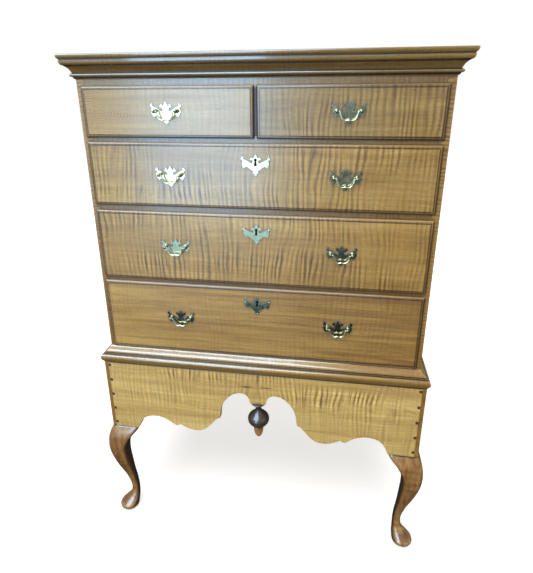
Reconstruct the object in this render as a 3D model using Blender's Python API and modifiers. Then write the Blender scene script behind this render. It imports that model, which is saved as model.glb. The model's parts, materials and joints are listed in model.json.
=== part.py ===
"""Tall chest of drawers: a case of five drawers on a frame with cabriole legs.

Metres, +Z up, the front faces -Y. The origin is on the floor, under the middle
of the chest. The case stands on the frame inside a waist moulding. Two short
and three long lipped drawers slide forward. Eight bails swing on their posts.
"""
import bpy
import bmesh
from math import cos, pi, sin
from mathutils import Matrix, Vector

# ---- driving dimensions -------------------------------------------------
GAP = 0.0003                 # left between pieces that touch
CASE_W = 0.940
FRAME_D = 0.506
FRAME_STEP = 0.0205          # frame stands out this far from the case
BOARD = 0.020                # thickness of case and frame boards
KNEE_Z = 0.3645              # top of the legs, foot of the frame boards
FRAME_TOP = 0.614
TOP = 1.5135
PANEL = 0.012                # case back and drawer box boards

# lips of the drawer fronts: bottom and top heights
LIPS_Z = {"top": (1.3070, 1.4366), "upper": (1.1223, 1.2952),
          "middle": (0.9017, 1.1067), "lower": (0.6680, 0.8912)}
LIP_X = 0.4577               # outer edge of the lips on both sides
LIP_SPLIT = 0.0034           # lips of the two short drawers, from the middle
LIP_OVER = 0.007             # a lip covers the edge of its opening by this
LIP_T = 0.0080
LIP_EDGE_R = 0.0045
INSET_T = 0.014              # part of a drawer front inside the opening
DRAWER_FIT = 0.0010
BOX_FIT = 0.0006             # the box stands inside the edges of its front
DRAWER_HEADROOM = 0.0030
BOX_FLOOR = 0.009
RAIL_DEPTH = 0.060
RUNNER_W = 0.032
SEAT_W = 0.058               # rails of the seat frame under the case

PULL_X = 0.2300
PULL_RISE = 0.0035           # posts above the middle of the drawer front
PLATE_T = 0.0016
POST_X = 0.02885             # half the boring of a pull
POST_R = 0.0042
POST_OUT = 0.0150
PIVOT_OUT = 0.0110           # hinge axis in front of the plate
PIN_R = 0.0013
PIN_HOLE_R = 0.0018
BAIL_R = 0.0018
BAIL_CLEAR = 0.0035          # the bail's arm inside its post
KEYHOLE_DROP = 0.0405        # keyhole below the top of the lip
LOCK_SIZE = (0.060, 0.0080, 0.038)

FINGER_COUNT = 5             # corner joint of the frame boards
FINGER_H = 0.0095
FINGER_PITCH = 0.0549
FINGER_TOP = 0.0125          # middle of the top finger under the frame's top
LAP = 0.0115                 # outer layer of a side board, seen on the front

# ---- worked out from them -----------------------------------------------
CASE_X = CASE_W / 2
FRAME_X = CASE_X + FRAME_STEP
FRONT = -FRAME_D / 2
BACK = FRAME_D / 2
CASE_FRONT = FRONT + FRAME_STEP
CASE_FOOT = FRAME_TOP + GAP
OPEN_X = CASE_X - BOARD
FLOOR_TOP = LIPS_Z["lower"][0] + LIP_OVER
BOX_REAR = BACK - PANEL - 0.010

MAPLE = (0.52, 0.31, 0.12)
MAPLE_DARK = (0.33, 0.17, 0.065)
PINE = (0.60, 0.42, 0.22)
BRASS = (0.72, 0.56, 0.26)
IRON = (0.12, 0.11, 0.10)

# profile of the cornice: how far out, how far below the top
CORNICE = [(0.0290, 0.0), (0.0312, 0.0020), (0.0315, 0.0042), (0.0300, 0.0090),
           (0.0275, 0.0128), (0.0257, 0.0165), (0.0257, 0.0200), (0.0250, 0.0240),
           (0.0232, 0.0265), (0.0188, 0.0272), (0.0155, 0.0302), (0.0120, 0.0335),
           (0.0088, 0.0380), (0.0066, 0.0430), (0.0060, 0.0460), (0.0092, 0.0475),
           (0.0112, 0.0500), (0.0100, 0.0540), (0.0050, 0.0568), (0.0025, 0.0590),
           (GAP, 0.0605)]

# profile of the waist moulding: how far out, how far above the frame
WAIST = [(GAP, 0.0497), (0.0037, 0.0460), (0.0065, 0.0417), (0.0100, 0.0365),
         (0.0150, 0.0330), (0.0158, 0.0305), (0.0187, 0.0295), (0.0200, 0.0262),
         (0.0228, 0.0256), (0.0262, 0.0230), (0.0277, 0.0195), (0.0277, 0.0150),
         (0.0266, 0.0110), (0.0245, 0.0060), (0.0205, GAP)]

# cabriole leg: height, outer and inner face measured inward from the corner
# of the frame, and how square the section is (2 is round)
LEG = [(0.0000, -0.0105, 0.0405, 2.0), (0.0060, -0.0112, 0.0412, 2.0),
       (0.0072, -0.0160, 0.0455, 2.0), (0.0130, -0.0178, 0.0472, 2.0),
       (0.0200, -0.0150, 0.0480, 2.0), (0.0300, -0.0030, 0.0486, 2.0),
       (0.0400, 0.0095, 0.0480, 2.1), (0.0520, 0.0185, 0.0476, 2.2),
       (0.0750, 0.0216, 0.0476, 2.3), (0.1000, 0.0195, 0.0468, 2.4),
       (0.1250, 0.0145, 0.0450, 2.6), (0.1500, 0.0085, 0.0430, 2.7),
       (0.2000, -0.0065, 0.0405, 3.0), (0.2500, -0.0175, 0.0385, 3.4),
       (0.2850, -0.0213, 0.0405, 3.8), (0.3080, -0.0205, 0.0490, 4.4),
       (0.3280, -0.0180, 0.0620, 5.0), (0.3450, -0.0125, 0.0770, 6.0),
       (0.3560, -0.0070, 0.0850, 7.0), (0.3620, -0.0030, 0.0880, 8.0),
       (KNEE_Z, -0.0005, 0.0885, 8.0)]
LEG_SIDES = 16
WING_T = 0.0440              # knee block wings, measured from the frame's face
WING_FOOT = 0.300            # the hollow between the wings starts here
POST_W = 0.036               # square post inside the frame's corner
POST_FOOT = 0.340
POST_TOP = 0.590

# right half of a pull plate, from the spire down, about the line of the posts
PLATE_HALF = [(0.0, 24.0), (2.6, 20.2), (7.0, 11.0), (8.8, 14.5), (12.2, 18.5),
              (14.6, 14.5), (15.8, 9.3), (9.6, 7.6), (7.2, 3.4), (8.8, -0.6),
              (12.0, -1.4), (18.5, 3.2), (28.0, 10.0), (32.0, 11.2), (35.2, 13.6),
              (34.6, 16.8), (36.4, 19.6), (42.0, 13.4), (36.2, 6.8), (39.0, 2.6),
              (39.6, -2.0), (36.8, -8.6), (31.5, -15.5), (27.8, -11.0), (22.4, -9.8),
              (15.4, -16.0), (6.2, -22.0), (5.2, -25.0), (7.4, -26.8), (0.0, -33.5)]

# right half of an escutcheon, about the round top of its keyhole
ESCUTCHEON_HALF = [(0.0, 14.5), (3.9, 8.1), (6.9, 4.2), (8.6, 5.4), (10.8, 7.1),
                   (13.2, 3.8), (15.4, -0.3), (9.8, -0.2), (7.0, -2.4), (6.8, -5.2),
                   (10.4, -8.6), (13.4, -7.6), (22.2, -2.6), (29.4, 1.0), (32.0, 2.6),
                   (31.4, 5.8), (33.3, 9.3), (39.4, 2.6), (33.0, -3.2), (35.2, -8.0),
                   (34.3, -14.8), (30.7, -22.2), (25.4, -18.2), (21.4, -18.2),
                   (13.0, -24.6), (6.2, -28.6), (5.6, -30.6), (8.8, -32.8), (0.0, -42.1)]

# right half of the apron's lower edge, from the pendant block to the leg
APRON_LOBES = [(0.0250, 0.5036), (0.0262, 0.5130), (0.0300, 0.5250), (0.0390, 0.5350),
               (0.0520, 0.5388), (0.0680, 0.5360), (0.0830, 0.5280), (0.0960, 0.5160),
               (0.1065, 0.5010), (0.1140, 0.4840), (0.1185, 0.4660), (0.1205, 0.4480),
               (0.1215, 0.4370), (0.1330, 0.4320), (0.1420, 0.4220), (0.1560, 0.4040),
               (0.1700, 0.3900), (0.1860, 0.3810), (0.2040, 0.3785), (0.2220, 0.3810),
               (0.2400, 0.3880), (0.2550, 0.3965), (0.2670, 0.3905), (0.2770, 0.3945),
               (0.2930, 0.4060), (0.3110, 0.4150), (0.3320, 0.4195), (0.3530, 0.4180),
               (0.3710, 0.4110), (0.3840, 0.3990), (0.3930, 0.3840), (0.4010, KNEE_Z + GAP)]

# right half of the frame back's lower edge, above the foot of the board
BACK_ARCH = [(0.400, 0.0), (0.385, 0.050), (0.355, 0.060)]

# pendant: radius and depth below the apron's block
PENDANT = [(0.0, -0.024), (0.0060, -0.024), (0.0060, GAP), (0.0210, GAP),
           (0.0222, 0.0020), (0.0205, 0.0042), (0.0135, 0.0065), (0.0092, 0.0110),
           (0.0088, 0.0200), (0.0110, 0.0290), (0.0190, 0.0390), (0.0285, 0.0480),
           (0.0335, 0.0580), (0.0325, 0.0680), (0.0255, 0.0780), (0.0160, 0.0850),
           (0.0110, 0.0890), (0.0110, 0.0905), (0.0145, 0.0925), (0.0150, 0.1000),
           (0.0140, 0.1100), (0.0110, 0.1210), (0.0060, 0.1290), (0.0, 0.1315)]
PENDANT_STEPS = 16
PENDANT_Y = FRONT + 0.0125   # the ball's front stays behind the knees'
DOWEL_HOLE_R = 0.0064
DOWEL_HOLE_DEPTH = 0.025

# right half of a bail: inward from its arm, down from the hinge axis
BAIL_HALF = [(-0.0024, 0.0), (-0.0006, 0.0014), (0.0, 0.0060), (0.0020, 0.0125),
             (0.0055, 0.0180), (0.0110, 0.0216), (0.01665, 0.0212)]
BAIL_DROP = 0.0205           # middle of the bail below the hinge axis


# ---- small tools --------------------------------------------------------
def clear_scene():
    for obj in list(bpy.data.objects):
        bpy.data.objects.remove(obj, do_unlink=True)


def new_collection(name):
    collection = bpy.data.collections.new(name)
    bpy.context.scene.collection.children.link(collection)
    return collection


def finish(obj, colour, roughness, metallic=0.0):
    material = bpy.data.materials.new(obj.name)
    material.use_nodes = True
    shader = material.node_tree.nodes["Principled BSDF"]
    shader.inputs["Base Color"].default_value = (*colour, 1.0)
    shader.inputs["Roughness"].default_value = roughness
    shader.inputs["Metallic"].default_value = metallic
    obj.data.materials.clear()
    obj.data.materials.append(material)


def wood(obj, colour=MAPLE):
    finish(obj, colour, 0.35)


def from_bmesh(name, bm, collection=None):
    bmesh.ops.recalc_face_normals(bm, faces=bm.faces)
    mesh = bpy.data.meshes.new(name)
    bm.to_mesh(mesh)
    bm.free()
    obj = bpy.data.objects.new(name, mesh)
    (collection or CHEST).objects.link(obj)
    return obj


def add_box(bm, low, high):
    size = [b - a for a, b in zip(low, high)]
    middle = [(a + b) / 2 for a, b in zip(low, high)]
    made = bmesh.ops.create_cube(bm, size=1.0)["verts"]
    bmesh.ops.scale(bm, vec=size, verts=made)
    bmesh.ops.translate(bm, vec=middle, verts=made)
    return made


def box(name, low, high, collection=None):
    bm = bmesh.new()
    add_box(bm, low, high)
    return from_bmesh(name, bm, collection)


def cutter(name, boxes):
    bm = bmesh.new()
    for low, high in boxes:
        add_box(bm, low, high)
    return guide(from_bmesh(name, bm, CUTTERS))


def guide(obj):
    obj.hide_render = True
    obj.display_type = "WIRE"
    return obj


def boolean(obj, other, operation, solver="EXACT"):
    modifier = obj.modifiers.new(operation.lower(), "BOOLEAN")
    modifier.operation = operation
    modifier.solver = solver
    modifier.object = other


def to_mesh(curve_object):
    """Swap a curve object for a welded mesh at the same place."""
    depsgraph = bpy.context.evaluated_depsgraph_get()
    mesh = bpy.data.meshes.new_from_object(curve_object.evaluated_get(depsgraph))
    bm = bmesh.new()
    bm.from_mesh(mesh)
    bmesh.ops.remove_doubles(bm, verts=bm.verts, dist=0.00001)
    bmesh.ops.dissolve_limit(bm, angle_limit=0.001, verts=bm.verts, edges=bm.edges)
    bmesh.ops.recalc_face_normals(bm, faces=bm.faces)
    bm.to_mesh(mesh)
    bm.free()
    name = curve_object.name
    collection = curve_object.users_collection[0]
    matrix = curve_object.matrix_world.copy()
    bpy.data.objects.remove(curve_object, do_unlink=True)
    obj = bpy.data.objects.new(name, mesh)
    obj.matrix_world = matrix
    collection.objects.link(obj)
    return obj


def flat_piece(name, outlines, thickness, matrix, collection=None):
    """A flat board from closed outlines in its own XY plane; the first is its rim."""
    curve = bpy.data.curves.new(name, "CURVE")
    curve.dimensions = "2D"
    curve.fill_mode = "BOTH"
    curve.extrude = thickness / 2
    for outline in outlines:
        spline = curve.splines.new("POLY")
        spline.points.add(len(outline) - 1)
        for point, (u, v) in zip(spline.points, outline):
            point.co = (u, v, 0.0, 1.0)
        spline.use_cyclic_u = True
    obj = bpy.data.objects.new(name, curve)
    (collection or CHEST).objects.link(obj)
    obj.matrix_world = matrix
    bpy.context.view_layer.update()
    return to_mesh(obj)


def upright(middle_y):
    """Outline's X to the right and its Y up; the board's middle at middle_y."""
    return Matrix.Translation((0, middle_y, 0)) @ Matrix.Rotation(pi / 2, 4, "X")


def sideways(middle_x):
    """Outline's X runs back and its Y up; the board's middle at middle_x."""
    turn = Matrix.Rotation(pi / 2, 4, "Z") @ Matrix.Rotation(pi / 2, 4, "X")
    return Matrix.Translation((middle_x, 0, 0)) @ turn


def lying(middle_z):
    return Matrix.Translation((0, 0, middle_z))


def mirrored(half):
    """Close a right half outline; a point on the middle line is used once."""
    return half + [(-x, y) for x, y in reversed(half) if x > 0]


def millimetres(points):
    return [(x / 1000, y / 1000) for x, y in points]


def shade(obj, angle=0.6):
    obj.data.shade_smooth()
    obj.data.set_sharp_from_angle(angle=angle)
    return obj


# ---- the case -----------------------------------------------------------
def opening(level):
    bottom, top = LIPS_Z[level]
    return bottom + LIP_OVER, top - LIP_OVER


def case_boards():
    for side, name in ((-1, "case_side_left"), (1, "case_side_right")):
        near, far = sorted((side * OPEN_X, side * CASE_X))
        wood(box(name, (near, CASE_FRONT, CASE_FOOT), (far, BACK, TOP)))
    inner = OPEN_X - GAP
    wood(box("case_top", (-inner, CASE_FRONT, TOP - BOARD), (inner, BACK, TOP)))
    back_front = BACK - PANEL
    floor = (inner, back_front - GAP, FLOOR_TOP)
    wood(box("case_bottom", (-inner, CASE_FRONT, FLOOR_TOP - BOARD), floor), PINE)
    rail = (inner, CASE_FRONT + BOARD, FLOOR_TOP - BOARD - GAP)
    wood(box("base_rail", (-inner, CASE_FRONT, CASE_FOOT), rail))
    frieze_low = opening("top")[1]
    frieze = (inner, CASE_FRONT + BOARD, TOP - BOARD - GAP)
    wood(box("frieze_rail", (-inner, CASE_FRONT, frieze_low), frieze))


def case_back(boards=5, groove=0.003):
    """Horizontal back boards, glued edge to edge, with a vee at each joint."""
    low = CASE_FOOT
    high = TOP - BOARD - GAP
    rise = (high - low) / boards
    outline = [(BACK - PANEL, low), (BACK, low)]
    for i in range(1, boards):
        joint = low + i * rise
        outline += [(BACK, joint - groove), (BACK - groove, joint), (BACK, joint + groove)]
    outline += [(BACK, high), (BACK - PANEL, high)]
    width = 2 * (OPEN_X - GAP)
    wood(flat_piece("case_back", [outline], width, sideways(0.0)), PINE)


def drawer_rails():
    """Front rail and the runners tenoned into it, one glued frame per level."""
    inner = OPEN_X - GAP
    front = CASE_FRONT
    rear = BACK - PANEL - GAP
    behind = front + RAIL_DEPTH
    side = inner - RUNNER_W
    middle = RUNNER_W
    levels = (("drawer_rail_upper", "upper", "top", True),
              ("drawer_rail_middle", "middle", "upper", False),
              ("drawer_rail_lower", "lower", "middle", False))
    for name, below, above, centre in levels:
        low = opening(below)[1]
        high = opening(above)[0]
        half = [(inner, front), (inner, rear), (side, rear), (side, behind)]
        if centre:
            half += [(middle, behind), (middle, rear)]
        board = flat_piece(name, [mirrored(half)], high - low, lying((low + high) / 2))
        wood(board)


def drawer_divider():
    """Stile between the short drawers, with the guide strip behind it."""
    low, high = opening("top")
    low += GAP
    high -= GAP
    width = 2 * (LIP_SPLIT + LIP_OVER)
    strip = low + 0.030
    rear = BACK - PANEL - GAP
    outline = [(CASE_FRONT, low), (rear, low), (rear, strip),
               (CASE_FRONT + BOARD, strip), (CASE_FRONT + BOARD, high), (CASE_FRONT, high)]
    wood(flat_piece("drawer_divider", [outline], width, sideways(0.0)))


# ---- mouldings ----------------------------------------------------------
def moulding(name, profile, face, ends, matrix):
    """A moulding along X, its back on y = -face; a mitred end follows the profile."""
    bm = bmesh.new()
    section = []
    for out, height in profile:
        section.append(bm.verts.new((0.0, -(face + out), height)))
    first = bm.faces.new(section)
    moved = bmesh.ops.extrude_face_region(bm, geom=[first])["geom"]
    far = [v for v in moved if isinstance(v, bmesh.types.BMVert)]
    for verts, (where, mitre) in ((section, ends[0]), (far, ends[1])):
        for vert in verts:
            out = -vert.co.y - face
            vert.co.x = where + mitre * out
    obj = from_bmesh(name, bm)
    obj.matrix_world = matrix
    wood(obj)
    return obj


def mouldings(prefix, profile):
    mitre_gap = GAP / 2
    turn = {"left": -pi / 2, "right": pi / 2}
    corner = CASE_X - mitre_gap
    moulding(prefix + "_front", profile, -CASE_FRONT,
             ((-corner, -1), (corner, 1)), Matrix.Identity(4))
    start = -CASE_FRONT - mitre_gap
    # a return runs back along the case side, and its mitre is at the front
    moulding(prefix + "_right", profile, CASE_X,
             ((-start, -1), (BACK, 0)), Matrix.Rotation(turn["right"], 4, "Z"))
    moulding(prefix + "_left", profile, CASE_X,
             ((-BACK, 0), (start, 1)), Matrix.Rotation(turn["left"], 4, "Z"))


def case_mouldings():
    top = [(out, TOP - drop) for out, drop in CORNICE] + [(GAP, TOP)]
    mouldings("cornice", top)
    waist = [(out, FRAME_TOP + rise) for out, rise in WAIST] + [(GAP, FRAME_TOP + GAP)]
    mouldings("waist_moulding", waist)


# ---- the frame ----------------------------------------------------------
def finger_heights():
    first = FRAME_TOP - FINGER_TOP
    return [first - i * FINGER_PITCH for i in range(FINGER_COUNT)]


def notched_end(bottom):
    """End of a front or back board, top to bottom, notched for the fingers."""
    shoulder = FRAME_X - LAP - GAP
    root = FRAME_X - BOARD - GAP
    points = [(shoulder, FRAME_TOP)]
    for middle in finger_heights():
        high = middle + FINGER_H / 2 + GAP
        low = middle - FINGER_H / 2 - GAP
        points += [(shoulder, high), (root, high), (root, low), (shoulder, low)]
    points.append((shoulder, bottom))
    return points


def frame_apron():
    bottom = KNEE_Z + GAP
    half = notched_end(bottom) + list(reversed(APRON_LOBES))
    apron = flat_piece("frame_apron", [mirrored(half)], BOARD, upright(FRONT + BOARD / 2))
    bm = bmesh.new()
    depth = DOWEL_HOLE_DEPTH
    bmesh.ops.create_cone(bm, cap_ends=True, segments=12, radius1=DOWEL_HOLE_R,
                          radius2=DOWEL_HOLE_R, depth=2 * depth)
    hole = guide(from_bmesh("pendant_hole", bm, CUTTERS))
    hole.location = (0.0, PENDANT_Y, APRON_LOBES[0][1])
    # the exact solver leaves the apron's corner notches open
    boolean(apron, hole, "DIFFERENCE", "MANIFOLD")
    wood(apron)


def frame_back():
    bottom = KNEE_Z + GAP
    half = notched_end(bottom) + [(x, bottom + rise) for x, rise in BACK_ARCH]
    back = flat_piece("frame_back", [mirrored(half)], BOARD, upright(BACK - BOARD / 2))
    wood(back, PINE)


def side_arch(steps=10, rise=0.050):
    """Lower edge of a side board: flat over the legs, one low arch between."""
    bottom = KNEE_Z + GAP
    end = BACK - 0.0895
    points = [(BACK, bottom), (end, bottom)]
    for i in range(1, steps):
        y = end * cos(pi * i / steps)
        points.append((y, bottom + rise * sin(pi * i / steps) ** 0.6))
    points += [(-end, bottom), (FRONT, bottom)]
    return points


def frame_sides():
    inner_face = FRAME_X - BOARD
    lap_face = FRAME_X - LAP
    heights = finger_heights()
    edges = [FRAME_TOP + 0.010]
    for middle in heights:
        edges += [middle + FINGER_H / 2, middle - FINGER_H / 2]
    edges.append(KNEE_Z - 0.010)
    for side, name in ((-1, "frame_side_left"), (1, "frame_side_right")):
        outline = [(FRONT, FRAME_TOP), (BACK, FRAME_TOP)] + side_arch()
        middle_x = side * (FRAME_X - BOARD / 2)
        board = flat_piece(name, [outline], BOARD, sideways(middle_x))
        near, far = sorted((side * (inner_face - 0.005), side * lap_face))
        boxes = []
        for high, low in zip(edges[0::2], edges[1::2]):
            boxes.append(((near, FRONT - 0.005, low), (far, FRONT + BOARD + GAP, high)))
            boxes.append(((near, BACK - BOARD - GAP, low), (far, BACK + 0.005, high)))
        boolean(board, cutter(name + "_notches", boxes), "DIFFERENCE")
        wood(board)


def seat_frame():
    """Flat rails inside the top of the frame, which the case stands on."""
    x = FRAME_X - BOARD - GAP
    y = BACK - BOARD - GAP
    outer = [(-x, -y), (x, -y), (x, y), (-x, y)]
    u = x - SEAT_W
    v = y - SEAT_W
    hole = [(-u, -v), (u, -v), (u, v), (-u, v)]
    piece = flat_piece("seat_frame", [outer, hole], BOARD, lying(FRAME_TOP - BOARD / 2))
    wood(piece, PINE)


# ---- legs and pendant ---------------------------------------------------
def leg_section(height, outer, inner, squareness):
    """One ring of the leg about the frame's corner; -X and -Y point outward."""
    middle = (outer + inner) / 2
    half = (inner - outer) / 2
    ring = []
    for i in range(LEG_SIDES):
        angle = 2 * pi * (i + 0.5) / LEG_SIDES
        c, s = cos(angle), sin(angle)
        stretch = (abs(c) ** squareness + abs(s) ** squareness) ** (-1 / squareness)
        ring.append((middle + half * stretch * c, middle + half * stretch * s, height))
    return ring


def leg_mesh():
    bm = bmesh.new()
    rings = [[bm.verts.new(p) for p in leg_section(*row)] for row in LEG]
    for low, high in zip(rings, rings[1:]):
        for i in range(LEG_SIDES):
            j = (i + 1) % LEG_SIDES
            bm.faces.new((low[i], low[j], high[j], high[i]))
    bm.faces.new(list(reversed(rings[0])))
    bm.faces.new(rings[-1])
    return bm


def legs():
    """Each leg is shaped at a corner and turned to face its own way."""
    past = 2 * LEG[-1][2]
    hollow = ((WING_T, WING_T, WING_FOOT), (past, past, KNEE_Z + BOARD))
    start = BOARD + GAP
    corners = (("leg_front_left", -1, -1, 0), ("leg_front_right", 1, -1, 1),
               ("leg_rear_right", 1, 1, 2), ("leg_rear_left", -1, 1, 3))
    for name, sx, sy, turns in corners:
        leg = from_bmesh(name, leg_mesh())
        cut = cutter(name + "_hollow", [hollow])
        post_box = ((start, start, POST_FOOT), (start + POST_W, start + POST_W, POST_TOP))
        post = cutter(name + "_post", [post_box])
        place = Matrix.Translation((sx * FRAME_X, sy * BACK, 0))
        place = place @ Matrix.Rotation(turns * pi / 2, 4, "Z")
        for obj in (leg, cut, post):
            obj.matrix_world = place
        boolean(leg, cut, "DIFFERENCE")
        boolean(leg, post, "UNION")
        shade(leg)
        wood(leg, MAPLE_DARK)


def pendant_drop():
    mesh = bpy.data.meshes.new("pendant_drop")
    points = [(r, 0.0, -drop) for r, drop in PENDANT]
    edges = [(i, i + 1) for i in range(len(points) - 1)]
    mesh.from_pydata(points, edges, [])
    obj = bpy.data.objects.new("pendant_drop", mesh)
    CHEST.objects.link(obj)
    obj.location = (0.0, PENDANT_Y, APRON_LOBES[0][1])
    screw = obj.modifiers.new("turn", "SCREW")
    screw.steps = PENDANT_STEPS
    screw.render_steps = PENDANT_STEPS
    screw.use_merge_vertices = True
    screw.merge_threshold = 0.0001
    wood(obj, MAPLE_DARK)


# ---- drawers ------------------------------------------------------------
def drawer_list():
    """Name, left and right ends of the lip, level and whether it has a lock."""
    return (("top_left", -LIP_X, -LIP_SPLIT, "top", False),
            ("top_right", LIP_SPLIT, LIP_X, "top", False),
            ("upper", -LIP_X, LIP_X, "upper", True),
            ("middle", -LIP_X, LIP_X, "middle", True),
            ("lower", -LIP_X, LIP_X, "lower", True))


def keyhole(radius=0.0029, waist=0.0019, length=0.0125, steps=8):
    """Keyhole outline about the middle of its round top."""
    points = []
    for i in range(steps):
        angle = -pi / 2 + 0.65 + (2 * pi - 1.3) * i / (steps - 1)
        points.append((radius * cos(angle), radius * sin(angle)))
    points += [(-waist, -length * 0.45), (-radius * 0.95, -length), (-waist, -length - 0.0020),
               (waist, -length - 0.0020), (radius * 0.95, -length), (waist, -length * 0.45)]
    return points


def drawer_front(name, left, right, level, locked):
    low, high = LIPS_Z[level]
    lip_back = CASE_FRONT - GAP
    bm = bmesh.new()
    add_box(bm, (left, lip_back - LIP_T, low), (right, lip_back, high))
    bm.faces.ensure_lookup_table()
    rear = max(bm.faces, key=lambda face: face.calc_center_median().y)
    bmesh.ops.inset_region(bm, faces=[rear], thickness=LIP_OVER + DRAWER_FIT,
                           use_even_offset=True)
    body = bmesh.ops.extrude_face_region(bm, geom=[rear])["geom"]
    bmesh.ops.delete(bm, geom=[rear], context="FACES_ONLY")
    verts = [v for v in body if isinstance(v, bmesh.types.BMVert)]
    bmesh.ops.translate(bm, vec=(0, INSET_T + GAP, 0), verts=verts)
    rim = [e for e in bm.edges if all(abs(v.co.y - lip_back + LIP_T) < 1e-5 for v in e.verts)]
    bmesh.ops.bevel(bm, geom=rim, offset=LIP_EDGE_R, segments=3, profile=0.5, affect="EDGES")
    front = from_bmesh(name + "_drawer_front", bm)
    if locked:
        outline = keyhole()
        centre = Matrix.Translation((0, 0, high - KEYHOLE_DROP)) @ upright(CASE_FRONT)
        hole = flat_piece(name + "_keyhole", [outline], 4 * BOARD, centre, CUTTERS)
        boolean(front, guide(hole), "DIFFERENCE")
    wood(front)


def drawer_box(name, left, right, level):
    """Sides, back and bottom; the drawer front closes it."""
    low, high = opening(level)
    inset = LIP_OVER + DRAWER_FIT + BOX_FIT
    left += inset
    right -= inset
    front = CASE_FRONT + INSET_T + GAP
    bottom = low + BOX_FIT
    top = high - DRAWER_HEADROOM
    body = box(name + "_drawer_box", (left, front, bottom), (right, BOX_REAR, top))
    hollow = ((left + PANEL, front - 0.010, bottom + BOX_FLOOR),
              (right - PANEL, BOX_REAR - PANEL, top + 0.010))
    boolean(body, cutter(name + "_hollow", [hollow]), "DIFFERENCE")
    wood(body, PINE)


def lock(name, level):
    high = LIPS_Z[level][1] - LIP_OVER - DRAWER_HEADROOM - GAP
    width, depth, height = LOCK_SIZE
    front = CASE_FRONT + INSET_T + GAP
    body = box(name + "_lock", (-width / 2, front, high - height), (width / 2, front + depth, high))
    finish(body, IRON, 0.5, 1.0)


def drawers():
    for name, left, right, level, locked in drawer_list():
        drawer_front(name, left, right, level, locked)
        drawer_box(name, left, right, level)
        if locked:
            lock(name, level)


# ---- brasses ------------------------------------------------------------
def plate_middle():
    return CASE_FRONT - GAP - LIP_T - GAP - PLATE_T / 2


def rod(bm, start, end, radius, segments=10):
    start, end = Vector(start), Vector(end)
    along = end - start
    turn = along.to_track_quat("Z", "Y").to_matrix().to_4x4()
    place = Matrix.Translation((start + end) / 2) @ turn
    bmesh.ops.create_cone(bm, cap_ends=True, segments=segments, radius1=radius,
                          radius2=radius, depth=along.length, matrix=place)


def pull_plate(name, x, z):
    place = Matrix.Translation((x, 0, z)) @ upright(plate_middle())
    plate = flat_piece(name + "_plate", [mirrored(millimetres(PLATE_HALF))], PLATE_T, place)
    face = plate_middle()
    bm = bmesh.new()
    holes = bmesh.new()
    pivot_y = face - PLATE_T / 2 - PIVOT_OUT
    for side in (-1, 1):
        px = x + side * POST_X
        rod(bm, (px, face, z), (px, face - PLATE_T / 2 - POST_OUT, z), POST_R)
        rod(holes, (px - side * 0.010, pivot_y, z), (px + side * 0.001, pivot_y, z), PIN_HOLE_R, 8)
    posts = guide(from_bmesh(name + "_posts", bm, CUTTERS))
    pins = guide(from_bmesh(name + "_pin_holes", holes, CUTTERS))
    boolean(plate, posts, "UNION")
    boolean(plate, pins, "DIFFERENCE")
    finish(plate, BRASS, 0.25, 1.0)


def bail_path():
    """From one pin to the other, about the hinge axis, the bail hanging down."""
    arm = POST_X - POST_R - BAIL_CLEAR
    half = [(POST_X - GAP, 0.0)] + [(arm - inward, -drop) for inward, drop in BAIL_HALF]
    return [(-x, z) for x, z in half] + [(0.0, -BAIL_DROP)] + list(reversed(half))


def bail(name, x, z):
    curve = bpy.data.curves.new(name + "_bail", "CURVE")
    curve.dimensions = "3D"
    curve.bevel_depth = BAIL_R
    curve.bevel_resolution = 2
    curve.use_fill_caps = True
    path = bail_path()
    spline = curve.splines.new("POLY")
    spline.points.add(len(path) - 1)
    count = len(path)
    for i, (point, (px, pz)) in enumerate(zip(spline.points, path)):
        point.co = (px, 0.0, pz, 1.0)
        at_pin = i < 2 or i >= count - 2
        point.radius = PIN_R / BAIL_R if at_pin else 1.0
    obj = bpy.data.objects.new(name + "_bail", curve)
    CHEST.objects.link(obj)
    obj.location = (x, plate_middle() - PLATE_T / 2 - PIVOT_OUT, z)
    bpy.context.view_layer.update()
    obj = to_mesh(obj)
    finish(obj, BRASS, 0.2, 1.0)


def escutcheon(name, z):
    rim = mirrored(millimetres(ESCUTCHEON_HALF))
    place = Matrix.Translation((0, 0, z)) @ upright(plate_middle())
    plate = flat_piece(name + "_escutcheon", [rim, keyhole()], PLATE_T, place)
    finish(plate, BRASS, 0.25, 1.0)


def brasses():
    for name, left, right, level, locked in drawer_list():
        low, high = LIPS_Z[level]
        z = (low + high) / 2 + PULL_RISE
        if locked:
            pull_plate(name + "_left_pull", -PULL_X, z)
            bail(name + "_left_pull", -PULL_X, z)
            pull_plate(name + "_right_pull", PULL_X, z)
            bail(name + "_right_pull", PULL_X, z)
            escutcheon(name, high - KEYHOLE_DROP)
        else:
            x = -PULL_X if right < 0 else PULL_X
            pull_plate(name + "_pull", x, z)
            bail(name + "_pull", x, z)


clear_scene()
CHEST = new_collection("tall_chest_of_drawers")
CUTTERS = new_collection("cutters")
case_boards()
case_back()
drawer_rails()
drawer_divider()
case_mouldings()
frame_apron()
frame_back()
frame_sides()
seat_frame()
legs()
pendant_drop()
drawers()
brasses()
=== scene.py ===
"""Looks for the tall chest of drawers: figured maple, brass and plain inner woods.

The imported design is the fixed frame. Every place here comes from its boxes and
joints. Carved, moulded, turned and cast pieces are modelled again in full detail
and stand for their plain nodes; straight boards keep their nodes with eased edges.
"""
import json
from math import cos, pi, radians, sin

import bmesh
import bpy
from mathutils import Matrix, Vector

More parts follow.
